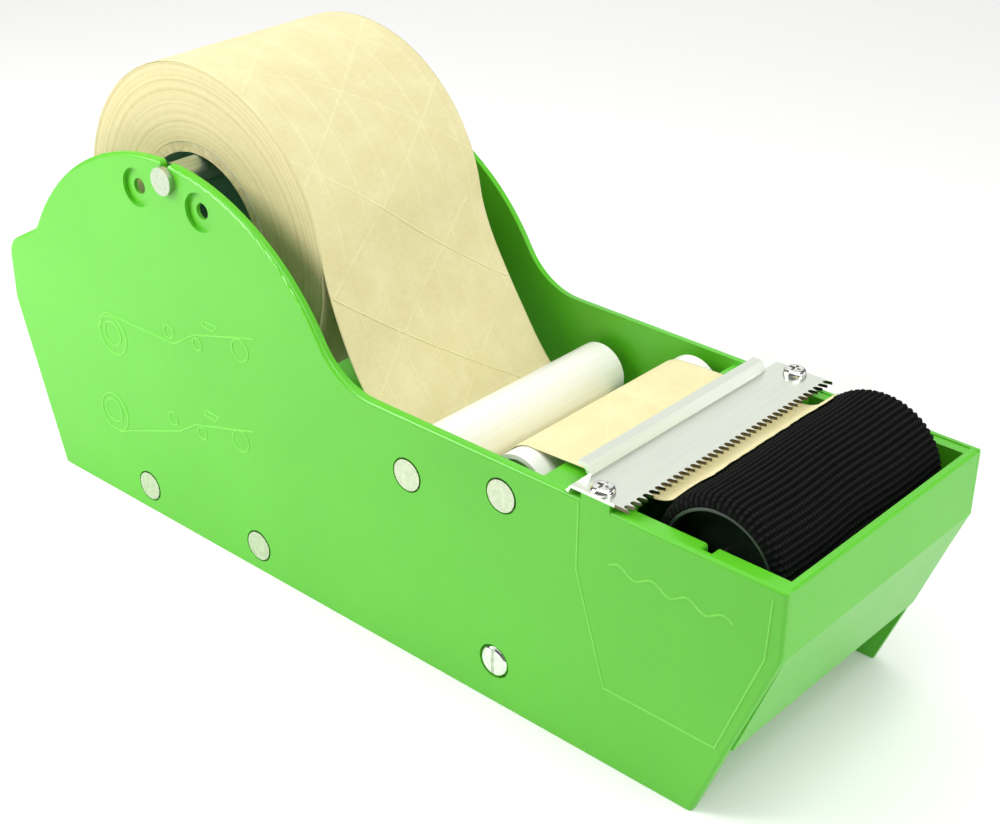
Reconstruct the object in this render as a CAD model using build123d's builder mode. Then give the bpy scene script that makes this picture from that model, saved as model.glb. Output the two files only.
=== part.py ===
from build123d import *
import math
import os

# Bench dispenser for gummed paper tape.
# Two moulded side panels are held apart by cross posts. The tape roll hangs from a grooved
# steel bar at the hump. The web runs down under the rear guide roller, over the front one,
# under the toothed cutter blade and onto a knitted roller that turns in the water tank.
# Frame: origin on the bench under the middle of the body, +X towards the tank, +Z up.
# The user's left side is -Y. All sizes in millimetres.

# ---------------------------------------------------------------- driving sizes
tape_width = 73.3
tape_thickness = 0.3
roll_radius = 57.2
core_bore_radius = 27.6
core_wall = 3.2

panel_thickness = 2.8
side_gap = 10.55  # from the edge of the tape to the inside of a side panel
rim_height = 85.5  # level top of the side panels, over the rollers and the tank
rim_rounding = 1.2

# side view of a panel, measured from its rear bottom corner or down from the rim
rear_overhang = 19.6
rear_knee_height = 61.5
shoulder_drop = 2.0
shoulder_rise = 12.3  # the shoulder's top line, run on until it is inside the hump
shoulder_length = 22.0
hump_radius = 83.0
hump_centre_drop = 30.5
hump_behind_spindle = 2.5
shoulder_radius = 9.0
shoulder_neck_radius = 8.0
rear_knee_radius = 10.0
dip_radius = 25.0
front_knee_drop = 21.7
toe_setback = 24.2

# where things stand along the body
heel_to_spindle = 74.5
roll_to_guide_gap = 38.0
guide_spacing = 37.7
guide_to_tank_gap = 18.4

# spindle bar that carries the roll, and the spare rod holes either side of it
spindle_radius = 4.75
spindle_neck_radius = 1.7
spindle_end_radius = 4.7
spindle_end_thickness = 1.95
spindle_depth = 5.8  # from the top of the hump down to the spindle axis
slot_lip_rounding = 1.4
spare_hole_radius = 2.75
spare_hole_sink_radius = 6.6
spare_hole_spacing = 31.1
spare_hole_drop = 6.7

# guide rollers and their axles
guide_radius = 10.0
guide_wall = 1.5
guide_end_gap = 4.7
rear_guide_drop = 19.4
front_guide_drop = 11.1
bush_length = 8.0
bush_recess = 5.0

# cross posts, headed at one end and closed by a slotted screw at the other
post_radius = 3.0
post_head_radius = 5.2
post_head_thickness = 1.6
head_sink_depth = 1.5
head_sink_radius = 5.8
screw_radius = 2.0
screw_length = 9.0
screw_dome_height = 2.0
screw_dome_rounding = 1.4
screw_slot_width = 1.2
screw_slot_depth = 1.0
spacer_radius = 5.0
base_post_height = 9.5
rear_base_post_x = 50.8  # from the rear bottom corner
middle_base_post_x = 108.7
front_post_height = 14.9
front_post_behind_guide = 2.1

# water tank
tank_wall = 2.6
tank_floor_height = 26.3
tank_seat_depth = 0.6
tank_side_wall = 3.6
tank_wall_drop = 0.3  # the side walls stop this far below the panel rims
tank_bridge_drop = 1.7
tank_rim_rounding = 0.9
tank_bridge_thickness = 2.6
tank_bridge_overhang = 17.3
tank_bridge_cover = 11.2  # how far the bridge reaches over the tank, under the blade
tank_rear_gap = 8.0
tank_front_gap = 3.1
tank_rear_slope = 11.5
tank_front_slope = 13.5

# wetting roller
sleeve_radius = 21.8
sleeve_thickness = 3.8
drum_wall = 1.1
drum_edge_rounding = 0.3
wet_axle_radius = 1.5
wet_axis_drop = 9.1
sleeve_end_gap = 2.5
cap_recess = 5.0  # the end caps sit this far inside the drum
cap_thickness = 2.0
cap_hub_radius = 4.0

# cutter blade
blade_thickness = 1.0
blade_plate_depth = 17.7
tooth_depth = 2.5
tooth_pitch = 2.7
tooth_flank = 0.45  # half the width of a tooth where its gullet turns round
blade_pad_height = 2.2
blade_to_sleeve_gap = 1.8
blade_flange_inset = 7.5
blade_flange_rise = 3.0
blade_flange_lean = 1.7
blade_flange_top = 2.2
blade_ear_lip = 2.0
blade_ear_drop = 1.8
blade_ear_tip_drop = 1.4
blade_ear_length = 6.75
blade_hole_clearance = 0.15
pad_length = 10.0
pad_width = 6.6
pad_root_depth = 14.0
blade_screw_radius = 1.75
blade_screw_length = 10.0
blade_screw_head_radius = 3.7
blade_screw_head_height = 2.0
blade_screw_head_rounding = 1.6
blade_screw_edge = 3.2
blade_screw_setback = 11.6  # from the tooth tips to the screw axis
recess_width = 0.9
recess_length = 3.8
recess_depth = 1.1

# clearances
snug = 0.05
running = 0.06
soft_gap = 0.3
cut_margin = 1.0  # how far a cut runs past what it has to clear

# ---------------------------------------------------------------- worked-out places
bay_width = tape_width + 2 * side_gap
body_width = bay_width + 2 * panel_thickness
inner_y = bay_width / 2
outer_y = body_width / 2

guide_reach = roll_radius + roll_to_guide_gap + guide_radius
tank_opening = tank_rear_gap + 2 * sleeve_radius + tank_front_gap
tank_length = tank_bridge_cover + tank_opening + tank_wall
heel_to_front = (
    heel_to_spindle + guide_reach + guide_spacing + guide_radius + guide_to_tank_gap + tank_length
)
body_length = rear_overhang + heel_to_front

rear_x = -body_length / 2
front_x = body_length / 2
heel_x = rear_x + rear_overhang
toe_x = front_x - toe_setback
spindle_x = heel_x + heel_to_spindle
rear_guide_x = spindle_x + guide_reach
front_guide_x = rear_guide_x + guide_spacing
tank_x = front_guide_x + guide_radius + guide_to_tank_gap
tank_front_inner_x = front_x - tank_wall
wet_x = tank_front_inner_x - tank_front_gap - sleeve_radius
blade_tip_x = wet_x - sleeve_radius - blade_to_sleeve_gap
blade_rear_x = blade_tip_x - tooth_depth - blade_plate_depth
blade_screw_x = blade_tip_x - blade_screw_setback
blade_screw_y = outer_y - blade_screw_edge
pad_from_x = blade_screw_x - pad_length / 2
pad_to_x = blade_screw_x + pad_length / 2
pad_inner_y = outer_y - pad_width

hump_x = spindle_x - hump_behind_spindle
hump_z = rim_height - hump_centre_drop
spindle_z = hump_z + hump_radius - spindle_depth
roll_z = spindle_z + spindle_radius + soft_gap - core_bore_radius
rear_guide_z = rim_height - rear_guide_drop
front_guide_z = rim_height - front_guide_drop
wet_z = rim_height - wet_axis_drop
blade_under_z = rim_height + blade_pad_height
blade_top_z = blade_under_z + blade_thickness
pad_root_z = rim_height - pad_root_depth
wall_z = rim_height - tank_wall_drop
bridge_z = rim_height - tank_bridge_drop
hump_top_z = hump_z + hump_radius
front_knee_z = rim_height - front_knee_drop
shoulder_z = rim_height - shoulder_drop
spare_hole_z = spindle_z - spare_hole_drop
front_post_x = front_guide_x - front_post_behind_guide
tank_half_width = inner_y + tank_seat_depth - snug
tank_inner_y = tank_half_width - tank_side_wall
head_seat_y = outer_y - head_sink_depth
core_radius = core_bore_radius + core_wall
guide_bore = guide_radius - guide_wall
guide_half_length = inner_y - guide_end_gap
sleeve_half_length = tank_inner_y - sleeve_end_gap
drum_radius = sleeve_radius - sleeve_thickness
base_posts = [
    ("rear", heel_x + rear_base_post_x, base_post_height, -1),
    ("middle", heel_x + middle_base_post_x, base_post_height, -1),
    ("front", front_post_x, front_post_height, 1),
]
guides = [
    ("rear", rear_guide_x, rear_guide_z),
    ("front", front_guide_x, front_guide_z),
]

os.makedirs("parts", exist_ok=True)


def keep(part, name):
    part.label = name
    export_step(part, f"parts/{name}.step")


def across(y):
    # plane of a side view, standing at y and looking towards +Y
    return Plane.XZ.offset(-y)


def bar(radius, x, z, y_from, y_to, mode=Mode.ADD):
    # a round bar along Y, added to the part being built, or cut from it
    with BuildSketch(across(y_from)) as section:
        with Locations((x, z)):
            Circle(radius)
    extrude(section.sketch, amount=y_from - y_to, mode=mode)


def block(x_from, x_to, y_from, y_to, z_from, z_to, mode=Mode.ADD):
    # a rectangular block between two corners, added or cut
    with BuildSketch(Plane.XY.offset(z_from)) as section:
        with Locations(((x_from + x_to) / 2, (y_from + y_to) / 2)):
            Rectangle(x_to - x_from, abs(y_to - y_from))
    extrude(section.sketch, amount=z_to - z_from, mode=mode)


def slot_shape(x, bottom_z, top_z, half_width, lip):
    # side view of an open slot with a round bottom and rounded lips at its mouth
    with BuildSketch(Plane.XZ) as shape:
        with Locations((x, bottom_z)):
            Circle(half_width)
        with Locations((x, (bottom_z + top_z) / 2)):
            Rectangle(2 * half_width, top_z - bottom_z)
        with Locations((x, top_z + lip)):
            Rectangle(2 * half_width + 4 * lip, 2 * lip)
        mouth = [
            shape.vertices().sort_by_distance((x + end * half_width, top_z, 0))[0] for end in (-1, 1)
        ]
        fillet(mouth, lip)
    return shape.sketch


def tank_outline(y, top_z, inset):
    # side view of the tank up to top_z, drawn at y and moved inwards by inset
    with BuildSketch(across(y)) as outline:
        with BuildLine():
            Polyline(
                (tank_x + tank_rear_slope, tank_floor_height),
                (front_x - tank_front_slope, tank_floor_height),
                (front_x, front_knee_z),
                (front_x, top_z),
                (tank_x, top_z),
                (tank_x, front_knee_z),
                close=True,
            )
        make_face()
        if inset:
            offset(amount=-inset, kind=Kind.INTERSECTION, mode=Mode.REPLACE)
    return outline.sketch


# ---------------------------------------------------------------- side panels
def panel_outline(outer):
    # straight skirt, rear shoulder, round hump over the roll and a level rim to the front
    shoulder_x = heel_x - rear_overhang
    shoulder_end = (shoulder_x + shoulder_length, shoulder_z + shoulder_rise)
    with BuildSketch(across(outer)) as outline:
        with BuildLine():
            Polyline(
                (heel_x, 0),
                (toe_x, 0),
                (front_x, front_knee_z),
                (front_x, rim_height),
                (hump_x, rim_height),
                (hump_x, shoulder_end[1]),
                shoulder_end,
                (shoulder_x, shoulder_z),
                (shoulder_x, rear_knee_height),
                close=True,
            )
        make_face()
        with Locations((hump_x, hump_z)):
            Circle(hump_radius)
        # the part of the hump's circle below the bench is taken off
        with Locations((hump_x, -hump_radius)):
            Rectangle(2 * hump_radius, 2 * hump_radius, mode=Mode.SUBTRACT)
        dip_x = hump_x + math.sqrt(hump_radius**2 - (rim_height - hump_z) ** 2)
        corners = [
            (dip_x, rim_height, dip_radius),
            (*shoulder_end, shoulder_neck_radius),
            (shoulder_x, shoulder_z, shoulder_radius),
            (shoulder_x, rear_knee_height, rear_knee_radius),
        ]
        for x, z, radius in corners:
            fillet(outline.vertices().sort_by_distance((x, z, 0))[0], radius)
    return outline.sketch


def side_panel(side):
    # side is -1 for the user's left and +1 for the right
    outer = side * outer_y
    inner = side * inner_y
    with BuildPart() as panel:
        extrude(panel_outline(outer), amount=side * panel_thickness)
        skin = panel.faces().filter_by(Axis.Y).sort_by(Axis.Y)[0 if side < 0 else -1]
        fillet(skin.edges().filter_by(lambda edge: edge.center().Z > rim_rounding), rim_rounding)
        # pad that carries one end of the cutter blade, with its screw boss down the inside
        block(pad_from_x, pad_to_x, side * pad_inner_y, outer, rim_height - panel_thickness, blade_under_z)
        block(pad_from_x, pad_to_x, side * pad_inner_y, inner, pad_root_z, rim_height)
        with BuildSketch(Plane.XY.offset(blade_under_z)) as screw_hole:
            with Locations((blade_screw_x, side * blade_screw_y)):
                Circle(blade_screw_radius + snug)
        extrude(screw_hole.sketch, amount=-(blade_screw_length + cut_margin), mode=Mode.SUBTRACT)
        # shallow seat for the tank on the inside
        seat = tank_outline(inner, rim_height, -snug)
        extrude(seat, amount=-side * tank_seat_depth, mode=Mode.SUBTRACT)
        # open slot for the neck of the spindle
        extrude(
            slot_shape(spindle_x, spindle_z, hump_top_z, spindle_neck_radius + snug, slot_lip_rounding),
            amount=body_width,
            both=True,
            mode=Mode.SUBTRACT,
        )
        # holes for the cross posts, sunk from outside for their heads
        for _, x, z, _ in base_posts:
            bar(head_sink_radius, x, z, outer, side * head_seat_y, Mode.SUBTRACT)
            bar(post_radius + snug, x, z, outer, inner, Mode.SUBTRACT)
        for _, x, z in guides:
            bar(head_sink_radius, x, z, outer, side * head_seat_y, Mode.SUBTRACT)
            bar(post_radius + snug, x, z, outer, inner, Mode.SUBTRACT)
        # spare rod holes either side of the spindle
        for end in (-1, 1):
            x = spindle_x + end * spare_hole_spacing / 2
            bar(spare_hole_sink_radius, x, spare_hole_z, outer, side * head_seat_y, Mode.SUBTRACT)
            bar(spare_hole_radius, x, spare_hole_z, outer, inner, Mode.SUBTRACT)
    return panel.part


keep(side_panel(-1), "left_side_panel")
keep(side_panel(1), "right_side_panel")

# ---------------------------------------------------------------- water tank
# One moulding: sloped trough, full-height front wall, and a bridge behind it that closes
# the gap to the front guide roller and runs on under the blade.
with BuildPart() as water_tank:
    extrude(tank_outline(0, rim_height, 0), amount=tank_half_width, both=True)
    front_lip = water_tank.edges().filter_by(Axis.Y).group_by(Axis.Z)[-1].sort_by(Axis.X)[-1]
    fillet(front_lip, tank_rim_rounding)
    hollow = tank_outline(0, rim_height + tank_wall, tank_wall)
    extrude(hollow, amount=tank_inner_y, both=True, mode=Mode.SUBTRACT)
    # lower everything but the front wall
    block(
        tank_x - cut_margin,
        tank_front_inner_x,
        -body_width,
        body_width,
        wall_z,
        rim_height + cut_margin,
        Mode.SUBTRACT,
    )
    bridge_half_width = inner_y - snug
    block(
        tank_x - tank_bridge_overhang,
        tank_x + tank_bridge_cover,
        -bridge_half_width,
        bridge_half_width,
        bridge_z - tank_bridge_thickness,
        bridge_z,
    )
    bridge_nose = water_tank.edges().filter_by(Axis.Y).sort_by(Axis.X)[:2]
    fillet(bridge_nose, tank_rim_rounding)
    for side in (-1, 1):
        # corner walls that close the tank round each blade pad, then the clearance for the pad
        block(
            tank_x,
            pad_to_x + tank_wall,
            side * (pad_inner_y - tank_wall),
            side * tank_half_width,
            pad_root_z - tank_wall,
            wall_z,
        )
        block(
            pad_from_x - snug,
            pad_to_x + snug,
            side * (pad_inner_y - snug),
            side * body_width,
            pad_root_z - snug,
            rim_height,
            Mode.SUBTRACT,
        )
    extrude(
        slot_shape(wet_x, wet_z, wall_z, wet_axle_radius + snug, tank_rim_rounding),
        amount=body_width,
        both=True,
        mode=Mode.SUBTRACT,
    )
keep(water_tank.part, "water_tank")


# ---------------------------------------------------------------- cross posts and axles
def headed_post(x, z, head_side):
    # barrel through both panels with a plain head at one end and a tapped end at the other
    seat = head_side * head_seat_y
    far_end = -head_side * (head_seat_y - snug)
    with BuildPart() as post:
        bar(post_radius, x, z, far_end, seat)
        bar(post_head_radius, x, z, seat, seat + head_side * post_head_thickness)
        bar(
            screw_radius + snug,
            x,
            z,
            far_end,
            far_end + head_side * (screw_length + cut_margin),
            Mode.SUBTRACT,
        )
    return post.part


def slotted_screw(x, z, head_side):
    # domed head with a straight slot, and the shank that closes a post
    seat = head_side * head_seat_y
    top = seat + head_side * screw_dome_height
    with BuildPart() as screw:
        bar(post_head_radius, x, z, seat, top)
        rim = screw.faces().sort_by(Axis.Y)[0 if head_side < 0 else -1].edges()
        fillet(rim, screw_dome_rounding)
        bar(screw_radius, x, z, seat, seat - head_side * screw_length)
        slot_y = top - head_side * screw_slot_depth
        block(
            x - screw_slot_width / 2,
            x + screw_slot_width / 2,
            slot_y,
            top + head_side * cut_margin,
            z - post_head_radius - cut_margin,
            z + post_head_radius + cut_margin,
            Mode.SUBTRACT,
        )
    return screw.part


def together(pieces):
    # separate solids of one kind of fastener, kept in one node
    return Compound(children=list(pieces))


keep(together(headed_post(x, z, side) for _, x, z, side in base_posts), "base_posts")
keep(together(slotted_screw(x, z, -side) for _, x, z, side in base_posts), "base_post_screws")
keep(together(slotted_screw(x, z, 1) for _, x, z in guides), "guide_axle_screws")

for place, x, z, _ in base_posts:
    with BuildPart() as spacer_tube:
        bar(spacer_radius, x, z, -inner_y, inner_y)
        bar(post_radius + snug, x, z, -inner_y, inner_y, Mode.SUBTRACT)
    keep(spacer_tube.part, f"{place}_spacer_tube")

# ---------------------------------------------------------------- guide rollers
for place, x, z in guides:
    keep(headed_post(x, z, -1), f"{place}_guide_axle")

    with BuildPart() as guide_roller:
        bar(guide_radius, x, z, -guide_half_length, guide_half_length)
        bar(guide_bore, x, z, -guide_half_length, guide_half_length, Mode.SUBTRACT)
    keep(guide_roller.part, f"{place}_guide_roller")

    bush_from = guide_half_length - bush_recess
    for hand, side in (("left", -1), ("right", 1)):
        with BuildPart() as bush:
            bar(guide_bore - snug, x, z, side * bush_from, side * (bush_from - bush_length))
            bar(
                post_radius + running,
                x,
                z,
                side * bush_from,
                side * (bush_from - bush_length),
                Mode.SUBTRACT,
            )
        keep(bush.part, f"{place}_guide_{hand}_bush")

# ---------------------------------------------------------------- spindle and tape roll
with BuildPart() as roll_spindle:
    bar(spindle_radius, spindle_x, spindle_z, soft_gap - inner_y, inner_y - soft_gap)
    neck_end = outer_y + snug
    bar(spindle_neck_radius, spindle_x, spindle_z, -neck_end, neck_end)
    for side in (-1, 1):
        disc_end = neck_end + spindle_end_thickness
        bar(spindle_end_radius, spindle_x, spindle_z, side * neck_end, side * disc_end)
keep(roll_spindle.part, "roll_spindle")

with BuildPart() as tape_core:
    bar(core_radius, spindle_x, roll_z, -tape_width / 2, tape_width / 2)
    bar(core_bore_radius, spindle_x, roll_z, -tape_width / 2, tape_width / 2, Mode.SUBTRACT)
keep(tape_core.part, "tape_core")

with BuildPart() as tape_roll:
    bar(roll_radius, spindle_x, roll_z, -tape_width / 2, tape_width / 2)
    bar(core_radius + snug, spindle_x, roll_z, -tape_width / 2, tape_width / 2, Mode.SUBTRACT)
keep(tape_roll.part, "tape_roll")

# ---------------------------------------------------------------- tape web
# Centre line, side view: an arc that hangs from the front of the roll and meets the underside
# of the rear guide roller, a wrap round it, a straight run up, a wrap over the front guide
# roller, and a run that lies flat under the blade.
wrap_radius = guide_radius + soft_gap + tape_thickness / 2
hang_x = spindle_x + roll_radius + soft_gap + tape_thickness / 2
reach = rear_guide_x - hang_x
drop = roll_z - rear_guide_z
hang_radius = (reach**2 + drop**2 - wrap_radius**2) / (2 * (reach - wrap_radius))
hang_angle = math.degrees(math.atan2(drop, hang_radius - reach))

rise = front_guide_z - rear_guide_z
guide_distance = math.hypot(guide_spacing, rise)
run_angle = math.degrees(math.atan2(rise, guide_spacing) + math.asin(2 * wrap_radius / guide_distance))

web_z = blade_under_z - soft_gap - tape_thickness / 2
web_end_x = wet_x - sleeve_radius - soft_gap
leave_reach = blade_rear_x - blade_thickness - front_guide_x
leave_rise = web_z - front_guide_z
leave_angle = math.degrees(
    math.atan2(leave_rise, leave_reach)
    - math.asin(wrap_radius / math.hypot(leave_reach, leave_rise))
)

with BuildPart() as tape_web:
    with BuildSketch(Plane.XZ):
        with BuildLine():
            CenterArc((hang_x + hang_radius, roll_z), hang_radius, 180, hang_angle)
            under = CenterArc(
                (rear_guide_x, rear_guide_z),
                wrap_radius,
                180 + hang_angle,
                90 + run_angle - hang_angle,
            )
            over = CenterArc(
                (front_guide_x, front_guide_z),
                wrap_radius,
                90 + run_angle,
                leave_angle - run_angle,
            )
            Line(under @ 1, over @ 0)
            Polyline(over @ 1, (blade_rear_x - blade_thickness, web_z), (web_end_x, web_z))
        trace(line_width=tape_thickness)
    extrude(amount=tape_width / 2, both=True)
keep(tape_web.part, "tape_web")

# ---------------------------------------------------------------- cutter blade
tooth_count = round(body_width / tooth_pitch)
tooth_step = body_width / tooth_count
tooth_root_x = blade_tip_x - tooth_depth
gullet_turn_x = tooth_root_x + tooth_step / 2 - tooth_flank
flange_half_length = outer_y - blade_flange_inset
with BuildPart() as cutter_blade:
    with BuildSketch(Plane.XY.offset(blade_under_z)) as blade_plate:
        with BuildLine():
            Polyline((blade_tip_x, -outer_y), (blade_rear_x, -outer_y), (blade_rear_x, outer_y))
            Line((blade_rear_x, outer_y), (blade_tip_x, outer_y))
            # pointed teeth with round-bottomed gullets between them
            for i in range(tooth_count):
                tooth_y = -outer_y + i * tooth_step
                left = (gullet_turn_x, tooth_y + tooth_flank)
                right = (gullet_turn_x, tooth_y + tooth_step - tooth_flank)
                Line((blade_tip_x, tooth_y), left)
                ThreePointArc(left, (tooth_root_x, tooth_y + tooth_step / 2), right)
                Line(right, (blade_tip_x, tooth_y + tooth_step))
        make_face()
        with Locations((blade_screw_x, -blade_screw_y), (blade_screw_x, blade_screw_y)):
            Circle(blade_screw_radius + blade_hole_clearance, mode=Mode.SUBTRACT)
    extrude(blade_plate.sketch, amount=blade_thickness)
    # upstanding flange that leans back over the web and turns level at its top
    with BuildSketch(Plane.XZ) as flange:
        foot_x = blade_rear_x
        crest_x = foot_x - blade_flange_lean
        tail_x = crest_x - blade_flange_top
        crest_z = blade_top_z + blade_flange_rise
        with BuildLine():
            Polyline(
                (foot_x + blade_thickness, blade_under_z),
                (foot_x + blade_thickness, blade_top_z),
                (crest_x + blade_thickness, crest_z),
                (tail_x, crest_z),
                (tail_x, crest_z - blade_thickness),
                (crest_x, crest_z - blade_thickness),
                (foot_x, blade_under_z),
                close=True,
            )
        make_face()
    extrude(flange.sketch, amount=flange_half_length, both=True)
    # short lips turned down at the rear of the two ears
    with BuildSketch(Plane.XZ) as ear_lip:
        with BuildLine():
            Polyline(
                (foot_x, blade_top_z),
                (foot_x, blade_under_z),
                (foot_x - blade_ear_lip / 2, blade_under_z - blade_ear_drop),
                (foot_x - blade_ear_lip, blade_under_z - blade_ear_tip_drop),
                close=True,
            )
        make_face()
    for side in (-1, 1):
        ear = ear_lip.sketch.moved(Location((0, side * outer_y, 0)))
        extrude(ear, amount=side * blade_ear_length)
keep(cutter_blade.part, "cutter_blade")


def blade_screw(side):
    # pan head with a cross recess, and its shank
    y = side * blade_screw_y
    with BuildPart() as screw:
        with BuildSketch(Plane.XY.offset(blade_top_z)) as head:
            with Locations((blade_screw_x, y)):
                Circle(blade_screw_head_radius)
        extrude(head.sketch, amount=blade_screw_head_height)
        fillet(screw.faces().sort_by(Axis.Z)[-1].edges(), blade_screw_head_rounding)
        with BuildSketch(Plane.XY.offset(blade_top_z)) as shank:
            with Locations((blade_screw_x, y)):
                Circle(blade_screw_radius)
        extrude(shank.sketch, amount=-blade_screw_length)
        head_top_z = blade_top_z + blade_screw_head_height
        with BuildSketch(Plane.XY.offset(head_top_z)) as cross:
            with Locations((blade_screw_x, y)):
                Rectangle(recess_length, recess_width)
                Rectangle(recess_width, recess_length)
        extrude(cross.sketch, amount=-recess_depth, mode=Mode.SUBTRACT)
    return screw.part


keep(together(blade_screw(side) for side in (-1, 1)), "blade_screws")

# ---------------------------------------------------------------- wetting roller
with BuildPart() as wet_roller_axle:
    axle_end = tank_half_width - soft_gap
    bar(wet_axle_radius, wet_x, wet_z, -axle_end, axle_end)
keep(wet_roller_axle.part, "wet_roller_axle")

drum_bore = drum_radius - drum_wall
with BuildPart() as wet_roller_drum:
    bar(drum_radius, wet_x, wet_z, -sleeve_half_length, sleeve_half_length)
    bar(drum_bore, wet_x, wet_z, -sleeve_half_length, sleeve_half_length, Mode.SUBTRACT)
    ends = wet_roller_drum.faces().filter_by(Axis.Y)
    fillet(ends.edges(), drum_edge_rounding)
keep(wet_roller_drum.part, "wet_roller_drum")

for hand, side in (("left", -1), ("right", 1)):
    face = side * (sleeve_half_length - cap_recess)
    back = face - side * cap_thickness
    hub_face = side * sleeve_half_length
    with BuildPart() as end_cap:
        bar(drum_bore - snug, wet_x, wet_z, face, back)
        bar(cap_hub_radius, wet_x, wet_z, hub_face, back)
        bar(wet_axle_radius + running, wet_x, wet_z, hub_face, back, Mode.SUBTRACT)
    keep(end_cap.part, f"wet_roller_{hand}_cap")

with BuildPart() as wet_roller_sleeve:
    bar(sleeve_radius, wet_x, wet_z, -sleeve_half_length, sleeve_half_length)
    bar(drum_radius + snug, wet_x, wet_z, -sleeve_half_length, sleeve_half_length, Mode.SUBTRACT)
keep(wet_roller_sleeve.part, "wet_roller_sleeve")
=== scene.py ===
import math

import bpy
import numpy as np
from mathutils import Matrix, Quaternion, Vector


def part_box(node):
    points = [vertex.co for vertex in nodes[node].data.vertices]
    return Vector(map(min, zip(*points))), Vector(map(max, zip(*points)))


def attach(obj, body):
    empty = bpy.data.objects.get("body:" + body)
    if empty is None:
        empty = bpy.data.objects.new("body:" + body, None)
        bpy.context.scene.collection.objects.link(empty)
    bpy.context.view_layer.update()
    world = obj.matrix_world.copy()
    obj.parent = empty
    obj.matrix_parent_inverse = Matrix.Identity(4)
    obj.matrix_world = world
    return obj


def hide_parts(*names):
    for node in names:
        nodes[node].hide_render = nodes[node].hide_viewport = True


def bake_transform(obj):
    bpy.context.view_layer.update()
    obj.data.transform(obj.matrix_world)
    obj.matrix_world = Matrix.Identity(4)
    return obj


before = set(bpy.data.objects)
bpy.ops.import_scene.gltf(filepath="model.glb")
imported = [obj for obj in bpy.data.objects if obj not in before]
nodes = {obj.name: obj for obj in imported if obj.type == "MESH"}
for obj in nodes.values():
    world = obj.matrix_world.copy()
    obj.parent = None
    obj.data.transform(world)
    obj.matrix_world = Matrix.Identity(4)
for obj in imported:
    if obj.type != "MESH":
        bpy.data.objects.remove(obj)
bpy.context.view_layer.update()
mm = 0.001
print("frame loaded:", len(nodes), "CAD nodes")


# small helpers
def linear(hexColour):
    # each sRGB channel turned to linear light, with an alpha of 1
    channels = [int(hexColour[i:i + 2], 16) / 255 for i in (1, 3, 5)]
    return (*[c / 12.92 if c < 0.04045 else ((c + 0.055) / 1.055) ** 2.4 for c in channels], 1.0)


def addNode(tree, kind, settings=None, links=None):
    # settings go to an input by name or number, or else to the node itself
    node = tree.nodes.new("ShaderNode" + kind)
    for key, value in (settings or {}).items():
        if isinstance(key, int) or key in node.inputs:
            node.inputs[key].default_value = value
        else:
            setattr(node, key, value)
    for key, source in (links or {}).items():
        tree.links.new(source, node.inputs[key])
    return node


def newMaterial(name, **sockets):
    # a Principled surface with its fixed numbers and colours on its own sockets
    material = bpy.data.materials.new(name)
    material.use_nodes = True
    shader = material.node_tree.nodes["Principled BSDF"]
    for key, value in sockets.items():
        socket = shader.inputs[key.replace("_", " ")]
        socket.default_value = linear(value) if isinstance(value, str) else value
    return material, material.node_tree, shader


def ramp(tree, source, stops):
    # a colour ramp through (position, hex) stops
    node = addNode(tree, "ValToRGB", {}, {"Fac": source})
    elements = node.color_ramp.elements
    while len(elements) < len(stops):
        elements.new(0.5)
    for element, (place, colour) in zip(elements, stops):
        element.position = place
        element.color = linear(colour)
    return node.outputs["Color"]


def quads(rows, columns, closed=False, looped=False):
    # faces of a grid of points kept row by row; closed joins the last column to the first,
    # looped the last row to the first
    i, j = np.meshgrid(
        np.arange(rows if looped else rows - 1), np.arange(columns if closed else columns - 1), indexing="ij"
    )
    above, beside = (i + 1) % rows, (j + 1) % columns
    corners = [i * columns + j, i * columns + beside, above * columns + beside, above * columns + j]
    return np.stack(corners, -1).reshape(-1, 4)


def newPiece(name, points, faces, material, smooth=True):
    mesh = bpy.data.meshes.new(name)
    mesh.from_pydata(np.asarray(points).reshape(-1, 3).tolist(), [], [list(f) for f in faces])
    mesh.update()
    mesh.validate()
    if smooth:
        mesh.shade_smooth()
    mesh.materials.append(material)
    piece = bpy.data.objects.new(name, mesh)
    bpy.context.scene.collection.objects.link(piece)
    return piece


def middle(node):
    low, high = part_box(node)
    return (low + high) / 2


def halfSize(node):
    low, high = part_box(node)
    return (high - low) / 2


def waves(seed, count, shortest, longest):
    # a smooth uneven field: a sum of sines of random direction, length and phase
    chance = np.random.default_rng(seed)
    turn = chance.uniform(0, 2 * np.pi, count)
    length = np.exp(chance.uniform(np.log(shortest), np.log(longest), count))
    phase = chance.uniform(0, 2 * np.pi, count)
    weight = np.sqrt(length / longest)

    def field(u, v):
        total = np.zeros(np.broadcast(u, v).shape)
        for a, l, p, w in zip(turn, length, phase, weight):
            total += w * np.sin(2 * np.pi * (u * np.cos(a) + v * np.sin(a)) / l + p)
        return total / np.sqrt((weight ** 2).sum() / 2) / 2

    return field


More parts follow.
